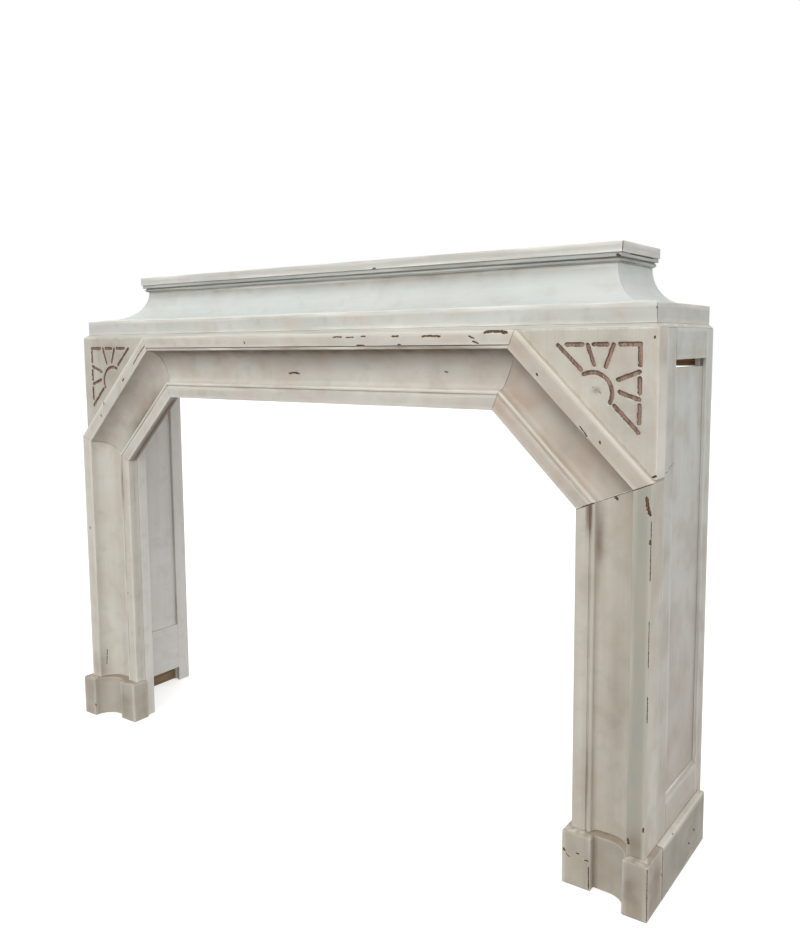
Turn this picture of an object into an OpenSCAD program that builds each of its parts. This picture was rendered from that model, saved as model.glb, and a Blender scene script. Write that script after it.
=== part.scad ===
// Painted timber fire surround with a canted opening, a coved cornice and panelled side returns.
// Origin: centre of the bounding box in plan, on the floor. The front faces -Y, +Z is up.

/* [Body] */
// Width over the two side returns
body_w = 1524; // [1100:1:1900]
// Depth from the front face of the legs to the wall
body_d = 320; // [200:1:450]
// Height from the floor to the top of the front frame
body_h = 1008.5; // [850:0.5:1300]

/* [Architrave] */
// Width of the moulding from the opening to its outer edge
arch_w = 147.5; // [130:0.5:190]
// Depth of the moulding from its front face to its back
arch_d = 57; // [52:1:90]
// Horizontal run of each canted corner of the opening
corner_cut = 169; // [100:1:240]
// Width of the flat band along the opening
inner_band_w = 26; // [18:0.5:34]
// How far the inner band lies behind the front face
inner_band_set = 29.5; // [22:0.5:36]
// Width of the quirk beside the bead
quirk_w = 3; // [2:0.5:5]
// Depth of the quirk
quirk_d = 4; // [2:0.5:8]
// Width of the bead
bead_w = 7.5; // [5:0.5:10]
// Width of the flat outer band
band_w = 33.5; // [30:0.5:38]
// Radius of the hollow
hollow_r = 45; // [36:0.5:48]
// Radius of the small cove at the foot of the hollow
foot_r = 12; // [6:0.5:14]
// Width of the lintel's separate top band
lintel_band_w = 26.5; // [25:0.5:32]
// How far the lintel's narrow fillet lies behind its top band
fillet_set = 2; // [1:0.5:4]
// Diameter of the dowels across the mitres
dowel_d = 10; // [8:1:11]
// Length of those dowels
dowel_l = 50; // [40:1:56]
// Wood left outside the outer dowels
dowel_cover = 5.5; // [4:0.5:6]

/* [Spandrels] */
// How far the spandrels lie behind the front face
spandrel_set = 16; // [8:0.5:24]
// Gap left under each spandrel's lower tip
tip_gap = 4; // [1:0.5:8]
// Length of the carved border along each edge
carve_l = 147; // [110:1:150]
// Distance from the carving's border to the spandrel's outer edge
carve_side = 31.5; // [24:0.5:50]
// Distance from the carving's border to the spandrel's top
carve_top = 27.5; // [24:0.5:50]
// Width of a carved groove
groove_w = 6.5; // [4:0.5:9]
// Depth of a carved groove
groove_d = 4.5; // [2:0.5:8]
// Radius of the carved half sun
sun_r = 36; // [24:1:40]

/* [Side returns] */
// Thickness of the side frames
side_t = 22; // [18:1:30]
// Width of the front stile
front_stile_w = 47.5; // [40:0.5:80]
// Width of the back stile
back_stile_w = 38; // [35:1:80]
// Height of the top rail
top_rail_h = 55; // [45:1:90]
// Height of the bottom rail's upper edge above the floor
bottom_rail_top = 170; // [140:1:240]
// Height of the bottom rail's lower edge above the floor
bottom_rail_base = 40; // [0:1:60]
// Panel thickness
panel_t = 7; // [6:0.5:9]
// How far the panel lies behind the frame's face
panel_set = 7; // [4:0.5:10]
// Depth of the groove that holds the panel
panel_groove = 10; // [8:0.5:14]
// Room left for the panel to move at each side
panel_play = 2; // [1:0.5:4]
// Open slot left above the panel
panel_slot = 14; // [0:0.5:18]
// Height of the bottom rail's chamfer
sill_chamfer = 11.5; // [6:0.5:14]
// Length of the rails' tenons
tenon_l = 28; // [20:1:32]

/* [Plinths] */
// Height of the plinths
plinth_h = 100; // [70:1:160]
// How far they stand out in front of the legs
plinth_front = 20; // [10:1:30]
// How far they stand out beyond the side returns
plinth_side = 12.5; // [8:0.5:20]
// How far they stand into the opening
plinth_in = 10; // [5:0.5:20]
// Width of the plinth's inner block beside its hollow
plinth_inner_w = 55.5; // [50:0.5:60]
// How far the side plinth stops short of the wall
plinth_back_gap = 18; // [0:1:40]

/* [Linings] */
// Thickness of the lining boards inside the legs
lining_t = 19; // [12:1:25]
// Width of the lining boards
lining_w = 28; // [20:1:60]
// How far the lining runs up past the lower mitre
lining_rise = 47; // [10:1:80]

/* [Cornice] */
// Height of the splayed neck mould
neck_h = 7.5; // [6:0.5:14]
// Set-back of the fascia from the spandrels
fascia_set = 11.5; // [8:0.5:18]
// Set-back of the fascia from the side returns
fascia_side_set = 8; // [5:0.5:14]
// Height of the fascia
fascia_h = 35; // [25:0.5:50]
// Thickness of the fascia
fascia_t = 22; // [16:1:26]
// Run of the cove's nearly flat ledge
ledge_run = 39; // [20:1:55]
// Rise of that ledge
ledge_rise = 4.5; // [2:0.5:8]
// Radius of the cove
cove_r = 72.5; // [50:0.5:85]
// Depth of the cove moulding from its face at the top to its back
cove_back = 25.5; // [18:0.5:30]
// Thickness of wood behind the middle of the cove
cove_wood = 17; // [12:0.5:24]
// Height of the bed mould under the shelf
bed_h = 17; // [14:0.5:24]
// How far the bed mould stands out beyond the cove
bed_out = 11.5; // [8:0.5:14]
// Height of the bed mould's upper fillet
bed_fillet_h = 7.5; // [5:0.5:10]
// How far the bed mould's bead lies behind that fillet
bed_bead_set = 4; // [2:0.5:6]
// Radius of the bed mould's bead
bed_bead_r = 3.4; // [2:0.1:4.5]
// How far the shelf stands out beyond the cove
shelf_out = 14.5; // [12:0.5:24]
// Thickness of the shelf
shelf_t = 20; // [16:0.5:30]
// Width of the shelf's mitred edge strips
shelf_edge_w = 45; // [30:1:60]

/* [Hidden parts] */
// Thickness of the ribs inside the cornice
rib_t = 22; // [18:1:30]
// Height of the rails behind the front frame and along the wall
rail_h = 70; // [50:1:90]
// Thickness of those rails
rail_t = 22; // [18:1:30]
// Size of the triangular glue blocks
block_w = 38; // [25:1:40]
// Height of a glue block
block_h = 90; // [60:1:110]
// Glue blocks behind each leg
block_n = 3; // [2:1:4]

/* [Hidden] */
$fn = 96;

paint = [0.83, 0.82, 0.78];
bare = [0.62, 0.48, 0.33];

half_w = body_w / 2;
back_y = (body_d + plinth_front) / 2;    // the wall face
face_y = back_y - body_d;                // the front face of the legs
frame_back_y = face_y + arch_d;          // the back of the front frame
open_hw = half_w - arch_w;
open_h = body_h - arch_w;
low_z = open_h - corner_cut;             // where the leg's mitre meets the opening
top_x = open_hw - corner_cut;            // where the lintel's mitre meets the opening
mitre_angle = 22.5;
mitre_run = arch_w * tan(mitre_angle);   // how much longer a length is at its outer edge
slant_l = corner_cut * sqrt(2);

riser = inner_band_w + quirk_w + bead_w; // the foot of the hollow, measured from the opening
arris = arch_w - band_w;                 // the edge between the hollow and the outer band
flat_w = arris - hollow_r - riser - foot_r; // the flat floor of the hollow
lintel_w = arch_w - lintel_band_w;
inner_dowel = [riser / 2, (inner_band_set + arch_d) / 2];
outer_dowel = [
    arch_w - dowel_cover - dowel_d / 2 - dowel_l / 2 * sin(mitre_angle), arch_d / 2
];
eps = 0.01;
past = 1;                                // cuts run this far past a face
crossing = 0.05;

spandrel_y = face_y + spandrel_set;
outer_low_z = low_z + mitre_run;
outer_top_x = top_x + mitre_run;
carve_x = half_w - carve_side;
carve_z = body_h - carve_top;

// Half of the carving, as strokes from one point to another. Both values of a point are measured
// in from the border lines, for a border of the length given here.
drawn_l = 147;
border_strokes = [[[0, 0], [35, 0]], [[57, 0], [81, 0]], [[102, 0], [131, 0]]];
ray_strokes = [[[46, 1], [59.5, 37.5]], [[92, 1], [80.5, 34.5]], [[147, 1], [104, 43]]];
sun_centre = [83.5, 83.5];
sun_spread = 70;                         // half of the angle that the sun's arc covers

side_y0 = frame_back_y;
panel_x1 = half_w - panel_set;
panel_y0 = side_y0 + front_stile_w;
panel_y1 = back_y - back_stile_w;
panel_z0 = bottom_rail_top - panel_groove;
panel_top = body_h - top_rail_h - panel_slot;
tenon_z = body_h - top_rail_h + panel_groove; // the top rail's tenon starts above its groove

fascia_z = body_h + neck_h;
cove_z = fascia_z + fascia_h;
bed_z = cove_z + ledge_rise + cove_r;
shelf_z = bed_z + bed_h;
top_z = shelf_z + shelf_t;
fascia_y = spandrel_y + fascia_set;
fascia_x = half_w - fascia_side_set;
cove_run = ledge_run + cove_r;
cove_depth = cove_run + cove_back;       // from the fascia's face to the cove's back
cove_top = ledge_rise + cove_r;          // height of the cove moulding
// The cove's back slopes at 45 degrees, this far in at its foot
cove_sole = (cove_r + cove_wood) * sqrt(2) - cove_top + ledge_run;
shelf_in = cove_run - shelf_out;         // the shelf's edge, in from the fascia's face
neck_w = frame_back_y - spandrel_y;

// ---- shared shapes ----

module on_side(side) {
    // side is 1 for the right-hand piece and -1 for the left-hand one
    if (side > 0) children();
    else mirror([1, 0, 0]) children();
}

// The architrave's section: x from the opening outwards, y from the front face backwards.
// The last two values say where the section ends and how far its outer strip is set back.
module arch_section(width, strip_set) {
    bead_x = inner_band_w + quirk_w;
    difference() {
        square([width, arch_d]);
        translate([-past, -past])
            square([bead_x + past, inner_band_set + past]);
        translate([inner_band_w, 0])
            square([quirk_w, inner_band_set + quirk_d]);
        // the bead, rounded across its whole width
        difference() {
            translate([bead_x - eps, -past])
                square([bead_w + eps, inner_band_set + bead_w / 2 + past]);
            translate([bead_x + bead_w / 2, inner_band_set + bead_w / 2])
                circle(r = bead_w / 2);
        }
        // the small cove, the flat floor and the hollow
        translate([riser, -past])
            square([foot_r + flat_w, hollow_r - foot_r + past]);
        translate([riser + foot_r, hollow_r - foot_r - eps])
            square([flat_w, foot_r + eps]);
        intersection() {
            translate([riser + foot_r, hollow_r - foot_r])
                circle(r = foot_r);
            translate([riser, 0])
                square([foot_r, hollow_r]);
        }
        intersection() {
            translate([riser + foot_r + flat_w, 0])
                circle(r = hollow_r);
            translate([riser + foot_r + flat_w - eps, -past])
                square([hollow_r + past, hollow_r + past]);
        }
        translate([arris - eps, -past])
            square([width, strip_set + past]);
    }
}

// A length of architrave: it runs up from the opening's corner, with its outer edge along +X.
// low and high say how much longer its outer edge is at each end.
module arch_length(run, low, high, width = arch_w, inner = 0, strip_set = 0) {
    tilt = mitre_run / arch_w;
    intersection() {
        translate([0, 0, -arch_w])
            linear_extrude(run + 2 * arch_w) children();
        translate([0, arch_d + past, 0])
            rotate([90, 0, 0])
                linear_extrude(arch_d + 2 * past)
                    polygon([
                        [inner, -low * inner * tilt], [width, -low * width * tilt],
                        [width, run + high * width * tilt], [inner, run + high * inner * tilt]
                    ]);
    }
}

// Puts a length of architrave at the opening's lower right corner, turned inwards by angle.
module at_corner(x, z, angle) {
    translate([x, face_y, z])
        rotate([0, -angle, 0])
            children();
}

// The dowels across one mitre, square to it, with their middles on it.
module dowel_pair() {
    for (place = [inner_dowel, outer_dowel])
        rotate([0, -mitre_angle, 0])
            translate([place[0] / cos(mitre_angle), place[1], -dowel_l / 2])
                cylinder(h = dowel_l, d = dowel_d);
}

module right_dowels() {
    at_corner(open_hw, low_z, 0) dowel_pair();
    at_corner(top_x, open_h, 45) dowel_pair();
}

module all_dowels() {
    right_dowels();
    mirror([1, 0, 0]) right_dowels();
}

// A cornice section lies in x (inwards from the fascia's face) and y (height).
// It runs along the front or one side, and is cut at 45 degrees at the corners.
module front_run(z) {
    intersection() {
        translate([-half_w, fascia_y, z])
            rotate([90, 0, 90])
                linear_extrude(body_w) children();
        translate([0, fascia_y + fascia_x, z - past])
            linear_extrude(top_z)
                polygon([[0, 0], [-body_w, -body_w], [body_w, -body_w]]);
    }
}

module side_run(side, z) {
    on_side(side)
        intersection() {
            translate([fascia_x, back_y, z])
                rotate([90, 0, 0])
                    linear_extrude(body_d)
                        mirror([1, 0]) children();
            translate([0, fascia_y + fascia_x, z - past])
                linear_extrude(top_z)
                    polygon([[0, 0], [body_w, -body_w], [body_w, body_w]]);
        }
}

// ---- front frame ----

module leg(side) {
    run = low_z - plinth_h;
    color(paint)
        on_side(side)
            difference() {
                translate([open_hw, face_y, plinth_h])
                    arch_length(run, 0, 1) arch_section(arch_w, 0);
                right_dowels();
            }
}

module corner_piece(side) {
    color(paint)
        on_side(side)
            difference() {
                at_corner(open_hw, low_z, 45)
                    arch_length(slant_l, 1, 1) arch_section(arch_w, 0);
                right_dowels();
            }
}

module lintel() {
    color(paint)
        difference() {
            at_corner(top_x, open_h, 90)
                arch_length(top_x * 2, 1, 1, lintel_w) arch_section(lintel_w, fillet_set);
            all_dowels();
        }
}

module lintel_band() {
    color(paint)
        difference() {
            at_corner(top_x, open_h, 90)
                arch_length(top_x * 2, 1, 1, arch_w, lintel_w)
                    translate([lintel_w, 0])
                        square([lintel_band_w, arch_d]);
            all_dowels();
        }
}

module mitre_dowels() {
    color(bare) all_dowels();
}

// One straight groove with round ends, in the plane of the spandrel. Its sides lie a hair inside
// its ends' circles, so that they cross instead of only touching.
module stroke(from, to) {
    run = to - from;
    angle = atan2(run[1], run[0]);
    for (end = [from, to])
        translate(end) circle(d = groove_w);
    translate(from)
        rotate(angle)
            translate([0, crossing - groove_w / 2])
                square([norm(run), groove_w - 2 * crossing]);
}

// Half of the carving: it is mirrored about the corner's diagonal.
module carving_half() {
    for (line = concat(border_strokes, ray_strokes))
        stroke(line[0] * carve_l / drawn_l, line[1] * carve_l / drawn_l);
}

module sun_arc() {
    reach = 4 * sun_r;
    translate(sun_centre * carve_l / drawn_l)
        rotate(225)
            union() {
                intersection() {
                    difference() {
                        circle(r = sun_r + groove_w / 2 - crossing);
                        circle(r = sun_r - groove_w / 2 + crossing);
                    }
                    polygon([
                        [0, 0], reach * [cos(sun_spread), -sin(sun_spread)],
                        [reach, 0], reach * [cos(sun_spread), sin(sun_spread)]
                    ]);
                }
                for (end = [-sun_spread, sun_spread])
                    rotate(end) translate([sun_r, 0]) circle(d = groove_w);
            }
}

module spandrel(side) {
    low = outer_low_z + tip_gap;
    reach = low - outer_low_z;
    color(paint)
        on_side(side)
            difference() {
                translate([0, frame_back_y, 0])
                    rotate([90, 0, 0])
                        linear_extrude(frame_back_y - spandrel_y)
                            polygon([
                                [outer_top_x, body_h], [half_w, body_h],
                                [half_w, low], [half_w - reach, low]
                            ]);
                translate([carve_x, spandrel_y + groove_d, carve_z])
                    rotate([90, 0, 0])
                        linear_extrude(groove_d + past)
                            rotate(180)
                                union() {
                                    carving_half();
                                    mirror([1, -1]) carving_half();
                                    sun_arc();
                                }
            }
}

// ---- plinths and linings ----

module plinth_block(side) {
    inner_x = open_hw - plinth_in;
    hollow_x = inner_x + plinth_inner_w;
    arris_x = open_hw + arris;
    color(paint)
        on_side(side)
            translate([0, face_y - plinth_front, 0])
                linear_extrude(plinth_h)
                    difference() {
                        translate([inner_x, 0])
                            square([half_w + plinth_side - inner_x, arch_d + plinth_front]);
                        translate([inner_x - past, -past])
                            square([plinth_inner_w + past, inner_band_set + past]);
                        translate([hollow_x - eps, -past])
                            square([arris_x - hollow_r - hollow_x + eps, hollow_r + past]);
                        intersection() {
                            translate([arris_x - hollow_r, 0]) circle(r = hollow_r);
                            translate([arris_x - hollow_r - eps, -past])
                                square([hollow_r + past, hollow_r + past]);
                        }
                    }
}

module plinth_side_board(side) {
    color(paint)
        on_side(side)
            translate([half_w, side_y0, 0])
                cube([plinth_side, back_y - plinth_back_gap - side_y0, plinth_h]);
}

module lining(side) {
    color(paint)
        on_side(side)
            translate([open_hw, frame_back_y, 0])
                cube([lining_t, lining_w, low_z + lining_rise]);
}

// ---- side returns ----

// The groove that holds the panel all round. The rails' tenons have its thickness.
module panel_groove_cut() {
    translate([panel_x1 - panel_t, panel_y0 - panel_groove, panel_z0])
        cube([panel_t, panel_y1 - panel_y0 + 2 * panel_groove, tenon_z - panel_z0]);
}

module tenons(z0, z1) {
    translate([panel_x1 - panel_t, panel_y0 - tenon_l, z0])
        cube([panel_t, panel_y1 - panel_y0 + 2 * tenon_l, z1 - z0]);
}

module rail_tenons() {
    tenons(tenon_z, body_h - panel_groove);
    tenons(bottom_rail_base + panel_groove, panel_z0);
}

module stile(side, y, width) {
    color(paint)
        on_side(side)
            difference() {
                translate([half_w - side_t, y, 0])
                    cube([side_t, width, body_h]);
                panel_groove_cut();
                rail_tenons();
            }
}

module rail_body(z0, z1) {
    translate([half_w - side_t, panel_y0, z0])
        cube([side_t, panel_y1 - panel_y0, z1 - z0]);
}

module top_rail(side) {
    color(paint)
        on_side(side)
            difference() {
                union() {
                    rail_body(body_h - top_rail_h, body_h);
                    tenons(tenon_z, body_h - panel_groove);
                }
                panel_groove_cut();
            }
}

module bottom_rail(side) {
    color(paint)
        on_side(side)
            difference() {
                union() {
                    rail_body(bottom_rail_base, bottom_rail_top);
                    tenons(bottom_rail_base + panel_groove, panel_z0);
                }
                panel_groove_cut();
                // the chamfer along the sill
                translate([half_w, panel_y0 - past, bottom_rail_top])
                    rotate([-90, 0, 0])
                        linear_extrude(panel_y1 - panel_y0 + 2 * past)
                            polygon([
                                [-panel_set, -past], [past, -past], [past, sill_chamfer],
                                [0, sill_chamfer], [-panel_set, 0]
                            ]);
            }
}

module side_panel(side) {
    edge = panel_groove - panel_play;
    color(paint)
        on_side(side)
            translate([panel_x1 - panel_t, panel_y0 - edge, panel_z0])
                cube([panel_t, panel_y1 - panel_y0 + 2 * edge, panel_top - panel_z0]);
}

// ---- cornice ----

module neck_section(out) {
    translate([-out, 0])
        polygon([[0, 0], [neck_w, 0], [neck_w, neck_h], [out, neck_h]]);
}

module fascia_section() {
    square([fascia_t, fascia_h]);
}

module cove_section() {
    difference() {
        polygon([
            [0, 0], [cove_sole, 0], [cove_depth, cove_depth - cove_sole],
            [cove_depth, cove_top], [ledge_run, cove_top], [ledge_run, ledge_rise]
        ]);
        translate([ledge_run, cove_top])
            circle(r = cove_r);
    }
}

module bed_section() {
    face = cove_run - bed_out;
    bead_face = face + bed_bead_set;
    back = cove_run + cove_back / 2;
    translate([face, bed_h - bed_fillet_h])
        square([back - face, bed_fillet_h]);
    translate([bead_face + bed_bead_r, 0])
        square([back - bead_face - bed_bead_r, bed_h - bed_fillet_h]);
    translate([bead_face + bed_bead_r, (bed_h - bed_fillet_h) / 2])
        circle(r = bed_bead_r);
}

module shelf_edge_section() {
    translate([shelf_in, 0])
        square([shelf_edge_w, shelf_t]);
}

module shelf_board() {
    inset = shelf_in + shelf_edge_w;
    color(paint)
        translate([inset - fascia_x, fascia_y + inset, shelf_z])
            cube([2 * (fascia_x - inset), back_y - fascia_y - inset, shelf_t]);
}

// ---- inside ----

module rib(x) {
    front = frame_back_y - fascia_y;
    color(bare)
        translate([x - rib_t / 2, fascia_y, body_h])
            rotate([90, 0, 90])
                linear_extrude(rib_t)
                    polygon([
                        [front, 0], [back_y - fascia_y, 0],
                        [back_y - fascia_y, shelf_z - body_h], [cove_depth, shelf_z - body_h],
                        [cove_depth, cove_z - body_h + cove_depth - cove_sole],
                        [cove_sole, cove_z - body_h], [front, cove_z - body_h]
                    ]);
}

module frame_rail() {
    color(bare)
        translate([side_t - half_w, frame_back_y, body_h - rail_h])
            cube([body_w - 2 * side_t, rail_t, rail_h]);
}

module wall_rail() {
    color(bare)
        translate([side_t - half_w, back_y - rail_t, body_h - rail_h])
            cube([body_w - 2 * side_t, rail_t, rail_h]);
}

module glue_blocks(side) {
    pitch = (low_z - plinth_h - block_h) / block_n;
    color(bare)
        on_side(side)
            for (i = [0 : block_n - 1])
                translate([half_w - side_t, frame_back_y, plinth_h + pitch * (i + 0.5)])
                    linear_extrude(block_h)
                        polygon([[0, 0], [-block_w, 0], [0, block_w]]);
}

leg(-1);  // leg_left
leg(1);  // leg_right
corner_piece(-1);  // corner_piece_left
corner_piece(1);  // corner_piece_right
lintel();
lintel_band();
mitre_dowels();
spandrel(-1);  // spandrel_left
spandrel(1);  // spandrel_right
plinth_block(-1);  // plinth_block_left
plinth_block(1);  // plinth_block_right
plinth_side_board(-1);  // plinth_side_left
plinth_side_board(1);  // plinth_side_right
lining(-1);  // lining_left
lining(1);  // lining_right
stile(-1, side_y0, front_stile_w);  // front_stile_left
stile(1, side_y0, front_stile_w);  // front_stile_right
stile(-1, panel_y1, back_stile_w);  // back_stile_left
stile(1, panel_y1, back_stile_w);  // back_stile_right
top_rail(-1);  // top_rail_left
top_rail(1);  // top_rail_right
bottom_rail(-1);  // bottom_rail_left
bottom_rail(1);  // bottom_rail_right
side_panel(-1);  // side_panel_left
side_panel(1);  // side_panel_right
color(paint) front_run(body_h) neck_section(fascia_set);  // neck_front
color(paint) side_run(-1, body_h) neck_section(fascia_side_set);  // neck_left
color(paint) side_run(1, body_h) neck_section(fascia_side_set);  // neck_right
color(paint) front_run(fascia_z) fascia_section();  // fascia_front
color(paint) side_run(-1, fascia_z) fascia_section();  // fascia_left
color(paint) side_run(1, fascia_z) fascia_section();  // fascia_right
color(paint) front_run(cove_z) cove_section();  // cove_front
color(paint) side_run(-1, cove_z) cove_section();  // cove_left
color(paint) side_run(1, cove_z) cove_section();  // cove_right
color(paint) front_run(bed_z) bed_section();  // bed_mould_front
color(paint) side_run(-1, bed_z) bed_section();  // bed_mould_left
color(paint) side_run(1, bed_z) bed_section();  // bed_mould_right
shelf_board();
color(paint) front_run(shelf_z) shelf_edge_section();  // shelf_edge_front
color(paint) side_run(-1, shelf_z) shelf_edge_section();  // shelf_edge_left
color(paint) side_run(1, shelf_z) shelf_edge_section();  // shelf_edge_right
rib(-(fascia_x - cove_depth - rib_t / 2));  // rib_left
rib(0);  // rib_centre
rib(fascia_x - cove_depth - rib_t / 2);  // rib_right
frame_rail();
wall_rail();
glue_blocks(-1);  // glue_blocks_left
glue_blocks(1);  // glue_blocks_right
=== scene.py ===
import math

import bmesh
import bpy
import numpy as np
from mathutils import Matrix, Vector, noise


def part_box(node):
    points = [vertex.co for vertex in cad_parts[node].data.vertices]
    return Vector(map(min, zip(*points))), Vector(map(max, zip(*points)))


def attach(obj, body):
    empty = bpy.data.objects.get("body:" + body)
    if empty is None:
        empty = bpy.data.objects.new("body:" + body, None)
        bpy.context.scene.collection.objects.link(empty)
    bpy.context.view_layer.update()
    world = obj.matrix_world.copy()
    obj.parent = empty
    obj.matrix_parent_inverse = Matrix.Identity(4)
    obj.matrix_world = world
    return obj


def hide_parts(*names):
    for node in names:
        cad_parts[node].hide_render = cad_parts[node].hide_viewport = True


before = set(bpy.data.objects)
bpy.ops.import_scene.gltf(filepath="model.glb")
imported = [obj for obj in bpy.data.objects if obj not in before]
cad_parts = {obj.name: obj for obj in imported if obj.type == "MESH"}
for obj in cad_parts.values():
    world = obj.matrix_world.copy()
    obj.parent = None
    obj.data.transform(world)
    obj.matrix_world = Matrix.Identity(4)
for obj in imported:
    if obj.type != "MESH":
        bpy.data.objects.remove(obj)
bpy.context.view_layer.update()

# ---- camera ----
# A phone held at a standing person's waist, to the right of the surround, looking across it.

MM = 0.001
eye = Vector((1251.0, -1582.2, 984.3)) * MM
yaw, pitch, roll = 0.632, -0.103, -0.010
ahead = Vector((-math.sin(yaw) * math.cos(pitch), math.cos(yaw) * math.cos(pitch), math.sin(pitch)))
level = Vector((math.cos(yaw), math.sin(yaw), 0))
above = level.cross(ahead)
right = level * math.cos(roll) + above * math.sin(roll)
up = above * math.cos(roll) - level * math.sin(roll)


def stand(name, data):
    """An object that holds this data, put into the scene."""
    thing = bpy.data.objects.new(name, data)
    bpy.context.scene.collection.objects.link(thing)
    return thing


camera_data = bpy.data.cameras.new("camera")
camera_data.sensor_width = 36
camera_data.lens = 34.28
camera_data.shift_x = 0.0245
camera_data.shift_y = -0.0333
camera_data.clip_start = 0.05
camera = stand("camera", camera_data)
camera.matrix_world = Matrix.Translation(eye) @ Matrix((right, up, -ahead)).transposed().to_4x4()
bpy.context.scene.camera = camera

# ---- floor and light ----
# A plain pale floor under soft light: one big source in front and above, one further off to the
# right for the side return, and a room that is brighter overhead than underfoot. The camera sees
# the room and the floor as one near white.


def linear(code):
    """An sRGB hex colour as linear red, green, blue and alpha."""
    values = [int(code[i:i + 2], 16) / 255 for i in (1, 3, 5)]
    return [v / 12.92 if v <= 0.04045 else ((v + 0.055) / 1.055) ** 2.4 for v in values] + [1]


def add(tree, kind, inputs=None, out=0, **settings):
    """Adds a node to a tree, sets and links it, and returns one of its output sockets."""
    node = tree.nodes.new(kind)
    for key, value in settings.items():
        setattr(node, key, value)
    for key, value in (inputs or {}).items():
        if isinstance(value, bpy.types.NodeSocket):
            tree.links.new(value, node.inputs[key])
        else:
            node.inputs[key].default_value = value
    return node.outputs[out] if len(node.outputs) else node


def coated(tree, colour, coats):
    """Lays coats over a colour, one after another: each is its share, 0 to 1, and its own colour."""
    for share, tint in coats:
        tint = linear(tint) if isinstance(tint, str) else tint
        colour = add(tree, "ShaderNodeMix", {0: share, 6: colour, 7: tint}, out=2, data_type="RGBA")
    return colour


world = bpy.data.worlds.new("room")
bpy.context.scene.world = world
world.use_nodes = True
tree = world.node_tree
tree.nodes.clear()
ray = add(tree, "ShaderNodeTexCoord", out="Generated")
height = add(tree, "ShaderNodeSeparateXYZ", {0: ray}, out="Z")
walls = add(tree, "ShaderNodeMapRange", {0: height, 1: -0.42, 2: 0.05})
ceiling = add(tree, "ShaderNodeMapRange", {0: height, 1: 0.15, 2: 0.8})
sky = coated(tree, linear("#523a2c"), [(walls, "#dcdddc"), (ceiling, "#ffffff")])
room = add(tree, "ShaderNodeBackground", {"Color": sky, "Strength": 1.1})
backdrop = add(tree, "ShaderNodeBackground", {"Color": linear("#ffffff"), "Strength": 1.0})
seen = add(tree, "ShaderNodeLightPath", out="Is Camera Ray")
room = add(tree, "ShaderNodeMixShader", {0: seen, 1: room, 2: backdrop})
add(tree, "ShaderNodeOutputWorld", {"Surface": room})

floor_mesh = bpy.data.meshes.new("floor")
reach = 14.0
floor_mesh.from_pydata(
    [(-reach, -reach, 0), (reach, -reach, 0), (reach, reach, 0), (-reach, reach, 0)], [], [(0, 1, 2, 3)]
)
floor = stand("floor", floor_mesh)
floor_paint = bpy.data.materials.new("pale_floor")
floor_paint.use_nodes = True
floor_shader = floor_paint.node_tree.nodes["Principled BSDF"]
floor_shader.inputs["Base Color"].default_value = linear("#c9c8c6")
floor_shader.inputs["Roughness"].default_value = 0.9
floor_shader.inputs["Specular IOR Level"].default_value = 0.1
floor_shader.inputs["Emission Color"].default_value = linear("#ffffff")
floor_shader.inputs["Emission Strength"].default_value = 0.62
floor_mesh.materials.append(floor_paint)
floor.visible_diffuse = False

for name, place, aim, size, power, tone in (
    ("window", (0.2, -2.7, 3.2), (0.0, 0.0, 0.6), 2.4, 47, "#fffbf6"),
    ("side_fill", (5.2, -4.2, 1.4), (-0.3, 0.0, 0.7), 2.6, 50, "#f6f6f5"),
):
    lamp_data = bpy.data.lights.new(name, "AREA")
    lamp_data.shape = "DISK"
    lamp_data.size = size
    lamp_data.energy = power
    lamp_data.color = linear(tone)[:3]
    lamp = stand(name, lamp_data)
    lamp.location = place
    lamp.rotation_euler = (Vector(aim) - Vector(place)).to_track_quat("-Z", "Y").to_euler()

bpy.context.scene.view_settings.view_transform = "Standard"

# ---- legs ----
# The two legs are lengths of softwood architrave, run with a flat band, a quirked bead and a deep
# hollow, then brushed with several coats of white oil paint that have yellowed, stained and chipped.


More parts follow.
